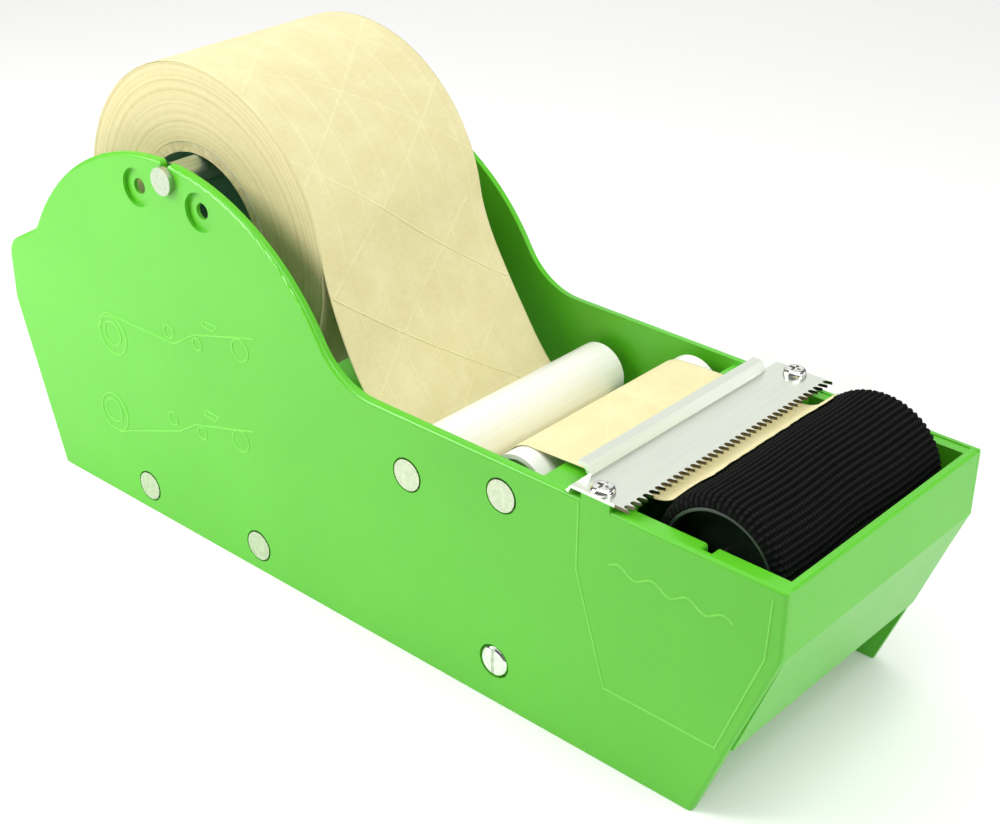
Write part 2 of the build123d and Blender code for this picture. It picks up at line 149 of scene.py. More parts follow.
# camera, floor and light
viewpoint = {
    "place": (0.36179, -0.38152, 0.34614),
    "aim": (0.02535, 0.0, 0.0648),
    "tiltDegrees": 0.568,
    "lens": 65.18,
    "sensor": 36.0,
}
studio = {
    "floorSize": 12.0,
    "floorColour": "#F4F4F2",
    "floorGlow": 0.12,
    "skyColour": "#FDFEFF",
    "skyStrength": 0.17,
    # name, place, aim, width, height, watts
    "lamps": [
        ("keyLamp", (-0.36, -0.38, 0.36), (-0.08, 0.0, 0.09), 0.3, 0.3, 3.0),
        ("overheadLamp", (0.0, 0.0, 2.0), (0.0, 0.0, 0.0), 2.4, 2.4, 20.5),
        ("frontLamp", (0.36, -0.06, 0.62), (0.0, 0.0, 0.09), 0.35, 0.5, 2.1),
        ("backCard", (-0.75, 0.95, 0.75), (0.1, 0.0, 0.09), 1.6, 1.1, 4.4),
        ("rightCard", (0.85, 0.9, 0.38), (0.1, 0.0, 0.09), 0.9, 0.5, 1.5),
        ("lowCard", (0.9, 0.05, 0.34), (0.05, 0.0, 0.1), 0.5, 0.3, 1.5),
    ],
}


def buildCamera():
    data = bpy.data.cameras.new("viewCamera")
    data.lens = viewpoint["lens"]
    data.sensor_width = viewpoint["sensor"]
    data.sensor_fit = "HORIZONTAL"
    data.clip_start = 0.02
    data.clip_end = 50
    camera = bpy.data.objects.new("viewCamera", data)
    bpy.context.scene.collection.objects.link(camera)
    camera.location = viewpoint["place"]
    look = (Vector(viewpoint["aim"]) - camera.location).to_track_quat("-Z", "Y")
    camera.rotation_mode = "QUATERNION"
    camera.rotation_quaternion = look @ Quaternion((0, 0, 1), math.radians(viewpoint["tiltDegrees"]))
    bpy.context.scene.camera = camera


def buildStudio():
    size = studio["floorSize"] / 2
    material, tree, shader = newMaterial(
        "pale floor", Base_Color=studio["floorColour"], Roughness=0.8,
        Emission_Color=studio["floorColour"], Emission_Strength=studio["floorGlow"],
    )
    corners = [(-size, -size, -0.0002), (size, -size, -0.0002), (size, size, -0.0002), (-size, size, -0.0002)]
    newPiece("studioFloor", corners, [(0, 1, 2, 3)], material, smooth=False)
    world = bpy.data.worlds.new("studioSky")
    world.use_nodes = True
    background = world.node_tree.nodes["Background"]
    background.inputs["Color"].default_value = linear(studio["skyColour"])
    background.inputs["Strength"].default_value = studio["skyStrength"]
    bpy.context.scene.world = world
    for name, place, aim, width, height, watts in studio["lamps"]:
        data = bpy.data.lights.new(name, "AREA")
        data.shape = "RECTANGLE"
        data.size = width
        data.size_y = height
        data.energy = watts
        lamp = bpy.data.objects.new(name, data)
        lamp.location = place
        lamp.rotation_mode = "QUATERNION"
        lamp.rotation_quaternion = (Vector(aim) - Vector(place)).to_track_quat("-Z", "Y")
        bpy.context.scene.collection.objects.link(lamp)
    bpy.context.scene.view_settings.view_transform = "Standard"


buildCamera()
buildStudio()
print("camera, floor and lamps placed")


# finishes
def greenAbs(name, dark, light):
    # ABS, injection moulded in a polished tool: even bright green with a satin gloss,
    # faint flow shading over some centimetres and a slight orange peel
    material, tree, shader = newMaterial(name, Roughness=0.34, IOR=1.54)
    place = addNode(tree, "TexCoord").outputs["Object"]
    flow = addNode(tree, "TexNoise", {"Scale": 18.0, "Detail": 2.0}, {"Vector": place})
    colour = ramp(tree, flow.outputs["Fac"], [(0.3, dark), (0.7, light)])
    tree.links.new(colour, shader.inputs["Base Color"])
    peel = addNode(tree, "TexNoise", {"Scale": 900.0, "Detail": 1.0}, {"Vector": place})
    bump = addNode(tree, "Bump", {"Strength": 0.06, "Distance": 0.0002}, {"Height": peel.outputs["Fac"]})
    tree.links.new(bump.outputs["Normal"], shader.inputs["Normal"])
    haze = addNode(tree, "TexNoise", {"Scale": 60.0, "Detail": 3.0}, {"Vector": place})
    spread = addNode(tree, "MapRange", {"To Min": 0.29, "To Max": 0.38}, {"Value": haze.outputs["Fac"]})
    tree.links.new(spread.outputs["Result"], shader.inputs["Roughness"])
    return material


def kraftPaper(name, fibreScale, tones):
    # bleached kraft paper: warm cream, matt, with cloudy formation and short darker fibres
    material, tree, shader = newMaterial(name, Roughness=0.72, IOR=1.45, Sheen_Weight=0.08)
    place = addNode(tree, "TexCoord").outputs["Object"]
    cloud = addNode(tree, "TexNoise", {"Scale": 90.0, "Detail": 4.0}, {"Vector": place})
    stretched = addNode(tree, "Mapping", {"Scale": (1.0, 0.45, 1.0)}, {"Vector": place})
    laid = {"Vector": stretched.outputs["Vector"]}
    fibre = addNode(tree, "TexNoise", {"Scale": fibreScale, "Detail": 2.0}, laid)
    both = {0: fibre.outputs["Fac"], 2: cloud.outputs["Fac"]}
    blend = addNode(tree, "Math", {"operation": "MULTIPLY_ADD", 1: 0.5}, both)
    colour = ramp(tree, blend.outputs["Value"], list(zip((0.45, 0.75, 1.0), tones)))
    tree.links.new(colour, shader.inputs["Base Color"])
    bump = addNode(tree, "Bump", {"Strength": 0.12, "Distance": 0.0002}, {"Height": fibre.outputs["Fac"]})
    tree.links.new(bump.outputs["Normal"], shader.inputs["Normal"])
    return material


def woundPaper(centre):
    # paper edges seen end on: an even pale tan made of very fine rings, a few of them darker as painted shade
    # where a layer lies back, with short flecks along the rings
    material, tree, shader = newMaterial("wound paper edges", Roughness=0.6, IOR=1.45)
    place = addNode(tree, "TexCoord").outputs["Object"]
    shift = {"Location": (-centre.x, 0.0, -centre.z), "Scale": (1.0, 0.0, 1.0)}
    moved = addNode(tree, "Mapping", shift, {"Vector": place})
    radius = addNode(tree, "VectorMath", {"operation": "LENGTH"}, {0: moved.outputs["Vector"]})
    # 2600 per metre is about every second layer of 0.17 mm paper
    fine = {"noise_dimensions": "1D", "Scale": 2600.0, "Detail": 2.0}
    rings = addNode(tree, "TexNoise", fine, {"W": radius.outputs["Value"]})
    flecks = addNode(tree, "TexNoise", {"Scale": 420.0, "Detail": 4.0, "Roughness": 0.7}, {"Vector": place})
    # broad darker rings: painted shade of layers that lie back
    broad = {"noise_dimensions": "1D", "Scale": 700.0, "Detail": 3.0}
    dark = addNode(tree, "TexNoise", broad, {"W": radius.outputs["Value"]})
    half = {"operation": "MULTIPLY_ADD", 1: 0.5}
    mixed = addNode(tree, "Math", half, {0: rings.outputs["Fac"], 2: dark.outputs["Fac"]})
    total = addNode(tree, "Math", half, {0: flecks.outputs["Fac"], 2: mixed.outputs["Value"]})
    speckled = addNode(tree, "Math", {"operation": "MULTIPLY", 1: 0.5}, {0: total.outputs["Value"]})
    tans = [(0.32, "#C2B482"), (0.43, "#CDC18E"), (0.56, "#D4C998"), (0.7, "#DBD1A4")]
    colour = ramp(tree, speckled.outputs["Value"], tans)
    tree.links.new(colour, shader.inputs["Base Color"])
    bump = addNode(tree, "Bump", {"Strength": 0.2, "Distance": 0.0001}, {"Height": mixed.outputs["Value"]})
    tree.links.new(bump.outputs["Normal"], shader.inputs["Normal"])
    return material


def coreBoard(halfLength):
    # spiral-wound board: tan cut ends, and inside a smooth grey lining with a dull gloss, tinted blue-green
    # as a painted reflection of the green panels
    material, tree, shader = newMaterial("lined core board", Roughness=0.4, IOR=1.5)
    place = addNode(tree, "TexCoord").outputs["Object"]
    fibre = addNode(tree, "TexNoise", {"Scale": 500.0, "Detail": 4.0}, {"Vector": place})
    # the lining's blue-green tint is a painted reflection of the green panels
    reflectionTintedLiner = ramp(tree, fibre.outputs["Fac"], [(0.35, "#A6C4BF"), (0.65, "#B4D0CB")])
    cut = ramp(tree, fibre.outputs["Fac"], [(0.35, "#B9AC80"), (0.65, "#D0C597")])
    across = addNode(tree, "SeparateXYZ", {}, {"Vector": place}).outputs["Y"]
    outwards = addNode(tree, "Math", {"operation": "ABSOLUTE"}, {0: across})
    endPlace = {"operation": "GREATER_THAN", 1: halfLength - 0.02 * mm}
    atEnd = addNode(tree, "Math", endPlace, {0: outwards.outputs["Value"]})
    colour = addNode(tree, "MixRGB", {}, {"Fac": atEnd.outputs["Value"], "Color1": reflectionTintedLiner, "Color2": cut})
    tree.links.new(colour.outputs["Color"], shader.inputs["Base Color"])
    return material


def whiteTube():
    # extruded rigid PVC: warm white, smooth, with a soft gloss and faint lengthwise die lines
    material, tree, shader = newMaterial("extruded white PVC", Roughness=0.3, IOR=1.53)
    place = addNode(tree, "TexCoord").outputs["Object"]
    along = addNode(tree, "Mapping", {"Scale": (1.0, 0.02, 1.0)}, {"Vector": place})
    lines = addNode(tree, "TexNoise", {"Scale": 900.0, "Detail": 1.0}, {"Vector": along.outputs["Vector"]})
    colour = ramp(tree, lines.outputs["Fac"], [(0.35, "#EFF0E4"), (0.65, "#F3F4EA")])
    tree.links.new(colour, shader.inputs["Base Color"])
    bump = addNode(tree, "Bump", {"Strength": 0.04, "Distance": 0.0001}, {"Height": lines.outputs["Fac"]})
    tree.links.new(bump.outputs["Normal"], shader.inputs["Normal"])
    return material


def steel(name, light, dark, roughness, grain, stretch, relief=0.05):
    # a bare or plated steel: grain is the number of lines per metre, stretch lays them along an axis
    material, tree, shader = newMaterial(name, Metallic=1.0, Roughness=roughness)
    place = addNode(tree, "TexCoord").outputs["Object"]
    along = addNode(tree, "Mapping", {"Scale": stretch}, {"Vector": place})
    lines = addNode(tree, "TexNoise", {"Scale": grain, "Detail": 2.0}, {"Vector": along.outputs["Vector"]})
    colour = ramp(tree, lines.outputs["Fac"], [(0.3, dark), (0.7, light)])
    tree.links.new(colour, shader.inputs["Base Color"])
    # the deeper the lines, the more their roughness varies
    limits = {"To Min": roughness * (1 - 4 * relief), "To Max": roughness * (1 + 5 * relief)}
    spread = addNode(tree, "MapRange", limits, {"Value": lines.outputs["Fac"]})
    tree.links.new(spread.outputs["Result"], shader.inputs["Roughness"])
    bump = addNode(tree, "Bump", {"Strength": relief, "Distance": 0.0001}, {"Height": lines.outputs["Fac"]})
    tree.links.new(bump.outputs["Normal"], shader.inputs["Normal"])
    return material


def plastic(name, dark, light, roughness):
    # a plain moulding: nearly even colour with faint cloudiness and a fine moulded grain
    material, tree, shader = newMaterial(name, Roughness=roughness, IOR=1.5)
    place = addNode(tree, "TexCoord").outputs["Object"]
    cloud = addNode(tree, "TexNoise", {"Scale": 120.0, "Detail": 2.0}, {"Vector": place})
    colour = ramp(tree, cloud.outputs["Fac"], [(0.35, dark), (0.65, light)])
    tree.links.new(colour, shader.inputs["Base Color"])
    grain = addNode(tree, "TexNoise", {"Scale": 2500.0, "Detail": 1.0}, {"Vector": place})
    bump = addNode(tree, "Bump", {"Strength": 0.05, "Distance": 0.0001}, {"Height": grain.outputs["Fac"]})
    tree.links.new(bump.outputs["Normal"], shader.inputs["Normal"])
    return material


def knitYarn():
    # black rib-knit nylon with painted light: the crowns of its stitches are painted charcoal as highlight,
    # the grooves between them are painted full black as shade, and the 0.4 mm yarn is fuzzy
    material, tree, shader = newMaterial("rib knit nylon", Roughness=0.85, IOR=1.3, Specular_IOR_Level=0.25)
    place = addNode(tree, "TexCoord").outputs["Object"]
    yarn = addNode(tree, "TexNoise", {"Scale": 2400.0, "Detail": 2.0}, {"Vector": place})
    # the stored stitch height drives the painted shade in the grooves and the painted highlight on the crowns
    height = addNode(tree, "Attribute", {"attribute_name": "knitShadeAndHighlight"})
    both = {0: yarn.outputs["Fac"], 2: height.outputs["Fac"]}
    fuzzy = addNode(tree, "Math", {"operation": "MULTIPLY_ADD", 1: 0.3}, both)
    colour = ramp(tree, fuzzy.outputs["Value"], [(0.35, "#010101"), (0.8, "#050605"), (1.0, "#191D1A")])
    tree.links.new(colour, shader.inputs["Base Color"])
    bump = addNode(tree, "Bump", {"Strength": 0.5, "Distance": 0.0003}, {"Height": yarn.outputs["Fac"]})
    tree.links.new(bump.outputs["Normal"], shader.inputs["Normal"])
    return material


finish = {
    "side_panel": greenAbs("moulded green ABS", "#56BC20", "#5BC224"),
    "kraft_paper": kraftPaper("bleached kraft paper", 900.0, ("#DAD09A", "#DFD6A3", "#E4DCAC")),
    "core_board": coreBoard(halfSize("tape_core").y),
    "guide_tube": whiteTube(),
    "bush": plastic("natural nylon", "#D9D8CC", "#E4E3D8", 0.45),
    "blade_steel": steel("satin rolled steel", "#E9EFE1", "#E4EADC", 0.29, 700.0, (1.0, 0.05, 1.0), 0.01),
    "post_steel": steel("nickel plated steel", "#CAD1BA", "#BAC2AB", 0.27, 500.0, (1.0, 1.0, 1.0)),
    "screw_steel": steel("bright chromed steel", "#F2F3EE", "#DADCD6", 0.12, 600.0, (1.0, 1.0, 1.0)),
    "spindle_steel": steel("ground steel bar", "#BFC9B5", "#AEBAA3", 0.36, 900.0, (1.0, 0.05, 1.0)),
    "spacer_tube": plastic("white nylon tube", "#DDDDD2", "#E8E8DE", 0.4),
    "drum": plastic("dark grey polypropylene", "#2E3830", "#38433A", 0.28),
    "roller_cap": plastic("black ABS", "#151C18", "#1C2520", 0.22),
    "axle_steel": steel("stainless wire", "#DDDFDA", "#C3C6C1", 0.22, 900.0, (1.0, 0.05, 1.0)),
    "knit_sleeve": knitYarn(),
}
finish["tank"] = finish["side_panel"]


def paintTeethWallShade(material):
    # faces that stand upright at the teeth, the cut edges of the plate, get painted shade: a dull dark brown
    # in place of the shadow that falls on them
    tree = material.node_tree
    shader = tree.nodes["Principled BSDF"]
    facing = addNode(tree, "SeparateXYZ", {}, {"Vector": addNode(tree, "TexCoord").outputs["Normal"]})
    level = addNode(tree, "Math", {"operation": "ABSOLUTE"}, {0: facing.outputs["Z"]})
    upright = addNode(tree, "Math", {"operation": "LESS_THAN", 1: 0.3}, {0: level.outputs["Value"]})
    place = addNode(tree, "SeparateXYZ", {}, {"Vector": addNode(tree, "TexCoord").outputs["Object"]})
    teethRoot = {"operation": "GREATER_THAN", 1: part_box("cutter_blade")[1].x - 5 * mm}
    ahead = addNode(tree, "Math", teethRoot, {0: place.outputs["X"]})
    wallShade = addNode(
        tree, "Math", {"operation": "MULTIPLY"}, {0: upright.outputs["Value"], 1: ahead.outputs["Value"]}
    )
    plain = shader.inputs["Base Color"].links[0].from_socket
    # the dark brown is painted shade on the upright tooth walls
    colour = addNode(
        tree, "MixRGB", {"Color2": linear("#6A6150")}, {"Fac": wallShade.outputs["Value"], "Color1": plain}
    )
    tree.links.new(colour.outputs["Color"], shader.inputs["Base Color"])


paintTeethWallShade(finish["blade_steel"])
materialOf = {
    "left_side_panel": "side_panel", "right_side_panel": "side_panel", "water_tank": "tank",
    "cutter_blade": "blade_steel", "blade_screws": "screw_steel", "base_posts": "post_steel",
    "base_post_screws": "screw_steel", "guide_axle_screws": "screw_steel",
    "rear_spacer_tube": "spacer_tube", "middle_spacer_tube": "spacer_tube",
    "front_spacer_tube": "spacer_tube",
    "rear_guide_axle": "post_steel", "front_guide_axle": "post_steel",
    "rear_guide_roller": "guide_tube", "front_guide_roller": "guide_tube",
    "rear_guide_left_bush": "bush", "rear_guide_right_bush": "bush",
    "front_guide_left_bush": "bush", "front_guide_right_bush": "bush",
    "roll_spindle": "spindle_steel", "tape_core": "core_board",
    "tape_roll": "kraft_paper", "tape_web": "kraft_paper",
    "wet_roller_axle": "axle_steel", "wet_roller_drum": "drum",
    "wet_roller_left_cap": "roller_cap", "wet_roller_right_cap": "roller_cap",
    "wet_roller_sleeve": "knit_sleeve",
}
for name, slot in materialOf.items():
    nodes[name].data.materials.clear()
    nodes[name].data.materials.append(finish[slot])
# the raised lines are painted a little lighter than the wall they stand on, a painted highlight where their
# edges catch the light
highlightGreen = greenAbs("green ABS with painted highlight", "#72D140", "#7AD748")
strandPaper = kraftPaper("kraft paper over strands", 900.0, ("#DED4A0", "#E4DBA9", "#E9E1B3"))
print("finishes on the CAD nodes")


# tape: one sheet from once round the roll to the torn end
tape = {
    "thickness": 0.2 * mm,
    "leaveDegrees": 10.0,  # above the roll's front, where the web parts from it
    "hangPull": 60.0 * mm,
    "farBulge": 2.0 * mm,  # how much more the far edge stands out than the near one
    "wrapGap": 0.45 * mm,
    "underBlade": 1.8 * mm,
    "screwHeadTop": 3.0 * mm,  # from the blade's underside to the top of its screws
    "bladeRearInset": 4.0 * mm,  # from the blade's rear edge to where the tape runs level
    "teethInset": 2.3 * mm,  # from the teeth's tips back to where the tape starts to rise
    "restBack": 12.2 * mm,  # from the sleeve's axis back to the end of the tape
    "restGap": 0.3 * mm,
    "sleeveGap": 0.35 * mm,
    "pucker": 0.16 * mm,
    "raggedness": 1.0 * mm,
    "tornShort": 0.5 * mm,  # how much the torn end falls short of the path
    # how far the torn end is cut back: shares of the half width, and mm
    "cutAcross": (-1.0, -0.74, 0.86, 1.0),
    "cutBack": (-7.4, -0.9, 0.0, -1.6),
    # the one notch: depth, place across, half width
    "notch": (0.9 * mm, 6.0 * mm, 1.1 * mm),
    "columns": 101,
}
rollCentre = middle("tape_roll")
rollRadius = halfSize("tape_roll").x
tapeHalf = halfSize("tape_roll").y
rearGuide, frontGuide = middle("rear_guide_roller"), middle("front_guide_roller")
guideRadius = halfSize("rear_guide_roller").x
sleeveCentre = middle("wet_roller_sleeve")
sleeveRadius = halfSize("wet_roller_sleeve").x
bladeLow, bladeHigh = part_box("cutter_blade")


def arc(centre, radius, fromDegrees, toDegrees, count):
    turn = np.radians(np.linspace(fromDegrees, toDegrees, count))
    return np.stack([centre.x + radius * np.cos(turn), centre.z + radius * np.sin(turn)], -1)


def bladeUnderZ():
    # the blade is flat under its screws, so its underside there is their tops less head and sheet
    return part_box("blade_screws")[1].z - tape["screwHeadTop"]


def tapePath():
    # side view (x, z): a turn of spiral on the roll, a Hermite curve down to the rear guide,
    # an arc under it, an arc over the front guide, a straight run under the blade and a
    # parabola that rises to lie on the sleeve, and never comes nearer to it than sleeveGap
    start = tape["leaveDegrees"]
    turns = np.radians(np.linspace(start + 366, start, 240))
    layer = rollRadius - tape["thickness"] * (0.5 + (turns - turns[-1]) / (2 * np.pi) * 1.5)
    lap = np.stack([rollCentre.x + layer * np.cos(turns), rollCentre.z + layer * np.sin(turns)], -1)
    wrap = guideRadius + tape["wrapGap"]
    reach = rearGuide.x - (rollCentre.x + rollRadius)
    drop = rollCentre.z - rearGuide.z
    hangRadius = (reach ** 2 + drop ** 2 - wrap ** 2) / (2 * (reach - wrap))
    entry = 180 + math.degrees(math.atan2(drop, hangRadius - reach))
    spacing, rise = frontGuide.x - rearGuide.x, frontGuide.z - rearGuide.z
    run = math.degrees(math.atan2(rise, spacing) + math.asin(2 * wrap / math.hypot(spacing, rise)))
    bladeZ = bladeUnderZ() - tape["underBlade"]
    bladeRearX = bladeLow.x + tape["bladeRearInset"]
    ahead, up = bladeRearX - frontGuide.x, bladeZ - frontGuide.z
    leave = math.degrees(math.atan2(up, ahead) - math.asin(wrap / math.hypot(ahead, up)))
    under = arc(rearGuide, wrap, entry, 270 + run, 60)
    over = arc(frontGuide, wrap, 90 + run, 90 + leave, 50)
    first, last = lap[-1], under[0]
    down = np.array([math.sin(turns[-1]), -math.cos(turns[-1])])
    on = np.array([-math.sin(math.radians(entry)), math.cos(math.radians(entry))])
    t = np.linspace(0, 1, 90)[1:-1, None]
    hang = (
        (2 * t ** 3 - 3 * t ** 2 + 1) * first + (t ** 3 - 2 * t ** 2 + t) * down * tape["hangPull"]
        + (3 * t ** 2 - 2 * t ** 3) * last + (t ** 3 - t ** 2) * on * tape["hangPull"]
    )
    flat = np.array([[bladeRearX, bladeZ], [bladeHigh.x - tape["teethInset"], bladeZ]])
    restX = sleeveCentre.x - tape["restBack"]
    restZ = sleeveCentre.z + math.sqrt((sleeveRadius + tape["restGap"]) ** 2 - (restX - sleeveCentre.x) ** 2)
    x = np.linspace(flat[1, 0], restX, 30)[1:]
    parabola = bladeZ + (restZ - bladeZ) * ((x - flat[1, 0]) / (restX - flat[1, 0])) ** 2
    clear = (sleeveRadius + tape["sleeveGap"]) ** 2 - (x - sleeveCentre.x) ** 2
    sleeveTop = sleeveCentre.z + np.sqrt(np.maximum(clear, 0))
    rising = np.stack([x, np.maximum(parabola, sleeveTop)], -1)
    line = np.concatenate([lap, hang, under, over, flat, rising])
    length = np.concatenate([[0], np.cumsum(np.hypot(*np.diff(line, axis=0).T))])
    marks = {
        "leave": length[len(lap) - 1],
        "entry": length[len(lap) + len(hang)],
        "front": length[len(lap) + len(hang) + len(under)],
        "bladeRear": length[-31],
        "teeth": length[-30],
        "end": length[-1],
    }
    return line, length, marks


pathLine, pathLength, pathMarks = tapePath()
puckers = waves(11, 14, 9 * mm, 60 * mm)


def tapePoint(s, y):
    # the sheet's middle surface: the side path at length s, pushed along its normal by the
    # slack of the far edge and by shallow puckers, which fade where the tape is held flat
    x = np.interp(s, pathLength, pathLine[:, 0])
    z = np.interp(s, pathLength, pathLine[:, 1])
    step = 0.6 * mm
    dx = np.interp(s + step, pathLength, pathLine[:, 0]) - np.interp(s - step, pathLength, pathLine[:, 0])
    dz = np.interp(s + step, pathLength, pathLine[:, 1]) - np.interp(s - step, pathLength, pathLine[:, 1])
    size = np.hypot(dx, dz)
    normal = np.stack([-dz / size, np.zeros_like(size), dx / size], -1)
    hang = np.clip((s - pathMarks["leave"]) / (pathMarks["entry"] - pathMarks["leave"]), 0, 1)
    loose = np.sin(np.pi * hang) ** 2
    bulge = loose * tape["farBulge"] * (y / tapeHalf)
    pucker = tape["pucker"] * puckers(s, y) * (0.25 + 0.75 * loose)
    held = (s > pathMarks["entry"]) * 0.8
    offset = bulge + pucker * (1 - held)
    return np.stack([x, y, z], -1) + normal * offset[..., None], normal


def tornEnd(y):
    # length at which the tape ends: the near corner is cut away to the teeth, and the rest is
    # a ragged line with one notch
    jag = waves(5, 9, 2.6 * mm, 20 * mm)(y, y * 0)
    corner = np.interp(y / tapeHalf, tape["cutAcross"], tape["cutBack"]) * mm
    depth, place, width = tape["notch"]
    notch = -depth * np.exp(-((y - place) / width) ** 2)
    return pathMarks["end"] + corner + notch + tape["raggedness"] * jag - tape["tornShort"]


def buildTape():
    y = np.linspace(-tapeHalf, tapeHalf, tape["columns"])
    plain = np.concatenate([
        np.linspace(0, pathMarks["leave"], 150)[:-1],
        np.linspace(pathMarks["leave"], pathMarks["entry"], 70)[:-1],
        np.linspace(pathMarks["entry"], pathMarks["bladeRear"], 70)[:-1],
        np.linspace(pathMarks["bladeRear"], pathMarks["teeth"], 8),
    ])
    share = np.linspace(0, 1, 22)[1:, None]
    tail = pathMarks["teeth"] + share * (tornEnd(y) - pathMarks["teeth"])
    s = np.concatenate([np.repeat(plain[:, None], len(y), 1), tail])
    points, _ = tapePoint(s, np.broadcast_to(y, s.shape))
    sheet = newPiece("tapeSheet", points, quads(*s.shape), finish["kraft_paper"])
    wall = sheet.modifiers.new("thickness", "SOLIDIFY")
    wall.thickness = tape["thickness"]
    wall.offset = 0
    return sheet, float(pathMarks["end"])


tapeSheet, tapeLength = buildTape()
print("tape sheet made, length", round(tapeLength * 1000), "mm")

# strands laid in the tape, seen as raised lines
strands = {
    "firstAcross": -27.5 * mm,
    "pitchAcross": 11.8 * mm,
    "count": 6,
    "halfWidth": 0.42 * mm,
    "lengthwiseHeight": 0.15 * mm,
    # slope across per length, spacing along, phase along from the point of leaving, height
    "slanted": [(1.18, 44.5 * mm, 0.8 * mm, 0.28 * mm), (-1.3, 36.0 * mm, 24.0 * mm, 0.12 * mm)],
}


def strandHeight(s):
    # strands show on the hanging web and the roll's front, and are pressed flat elsewhere: they
    # grow over the 45 mm before the web leaves the roll and fade over 12 mm at the rear guide
    past = (s - pathMarks["leave"]) / mm
    grown = np.clip((past + 45) / 45, 0.08, 1) ** 1.5
    return 0.05 + 0.95 * grown * np.clip((104 - past) / 12, 0, 1)


def strandTube(s, y, height, wobbleSeed):
    # a low ridge along the line (s, y) on the sheet: six points round each place on the line
    y = y + 0.12 * mm * waves(wobbleSeed, 5, 6 * mm, 30 * mm)(s, s * 0)
    centre, normal = tapePoint(s, y)
    ahead = np.gradient(centre, axis=0)
    ahead /= np.linalg.norm(ahead, axis=1, keepdims=True)
    side = np.cross(normal, ahead)
    top = (height * strandHeight(s))[:, None]
    skin = normal * tape["thickness"] / 2
    w = strands["halfWidth"]
    ring = [(-1.0, -0.02), (-0.5, 0.72), (0.0, 1.0), (0.5, 0.72), (1.0, -0.02), (0.0, -0.3)]
    return np.stack([centre + skin + side * w * across + normal * top * up for across, up in ring[::-1]], 1)


def buildStrands():
    rings, faces, offset = [], [], 0

    def lay(s, y, height, seed):
        nonlocal offset
        inside = np.abs(y) < tapeHalf - 0.4 * mm
        s, y = s[inside], y[inside]
        if len(s) < 4:
            return
        tube = strandTube(s, y, height, seed)
        faces.extend((quads(len(tube), 6, closed=True) + offset).tolist())
        faces.append([offset + 5 - k for k in range(6)])
        faces.append([offset + len(tube) * 6 - 6 + k for k in range(6)])
        rings.append(tube.reshape(-1, 3))
        offset += len(tube) * 6

    stop = pathMarks["teeth"] - 2 * mm
    along = np.arange(3 * mm, stop, 1.6 * mm)
    for k in range(strands["count"]):
        place = strands["firstAcross"] + k * strands["pitchAcross"]
        lay(along, np.full_like(along, place), strands["lengthwiseHeight"], 20 + k)
    for slope, spacing, phase, height in strands["slanted"]:
        for n in range(-12, 8):
            middleS = pathMarks["leave"] + phase + n * spacing
            across = np.linspace(-tapeHalf, tapeHalf, 70)
            s = middleS + across / slope
            keep = (s > 3 * mm) & (s < stop)
            lay(s[keep], across[keep], height, 40 + n)
    return newPiece("tapeStrands", np.concatenate(rings), faces, strandPaper, smooth=False)


tapeStrands = buildStrands()
print("strands laid")

# windings
windings = {"rings": 150, "steps": 200, "unevenness": 0.02 * mm, "innerGap": 0.1 * mm}


def buildWindings():
    # a lathe of the roll's side view: across one side, over the outside and back across the
    # other side; each radius stands in or out by a little, along a spiral, so layers show
    inner = halfSize("tape_core").x + windings["innerGap"]
    outer = rollRadius - 2.2 * tape["thickness"]
    turn = np.linspace(0, 2 * np.pi, windings["steps"], endpoint=False)
    radius = np.linspace(inner, outer, windings["rings"])
    layers = waves(3, 26, 0.7 * mm, 3 * mm)
    slow = waves(4, 6, 30 * mm, 120 * mm)
    rows = []
    for side in (-1, 1):
        spiral = radius[:, None] + 0.5 * mm * turn[None] / (2 * np.pi)
        edge = np.clip((outer - radius[:, None]) / (0.5 * mm), 0, 1)
        x = radius[:, None] * np.cos(turn)
        z = radius[:, None] * np.sin(turn)
        step = windings["unevenness"] * (layers(spiral, turn[None] * 0) + 0.5 * slow(x, z)) - 0.12 * mm
        y = side * (tapeHalf + np.minimum(step, 0.0) * edge)
        block = np.stack([rollCentre.x + x, np.broadcast_to(y, x.shape), rollCentre.z + z], -1)
        rows.append(block if side < 0 else block[::-1])
    points = np.concatenate(rows)
    faces = quads(len(points), windings["steps"], closed=True, looped=True)
    return newPiece("tapeWindings", points, faces[:, ::-1], woundPaper(rollCentre))


tapeWindings = buildWindings()
print("windings made")

# knitted sleeve
knit = {
    "ribs": 66,
    "pointsPerRib": 6,
    "ribDepth": 0.9 * mm,
    "stitchPitch": 1.4 * mm,
    "stitchDepth": 0.3 * mm,
    "sway": 0.5 * mm,
    "curl": 3.4 * mm,
}


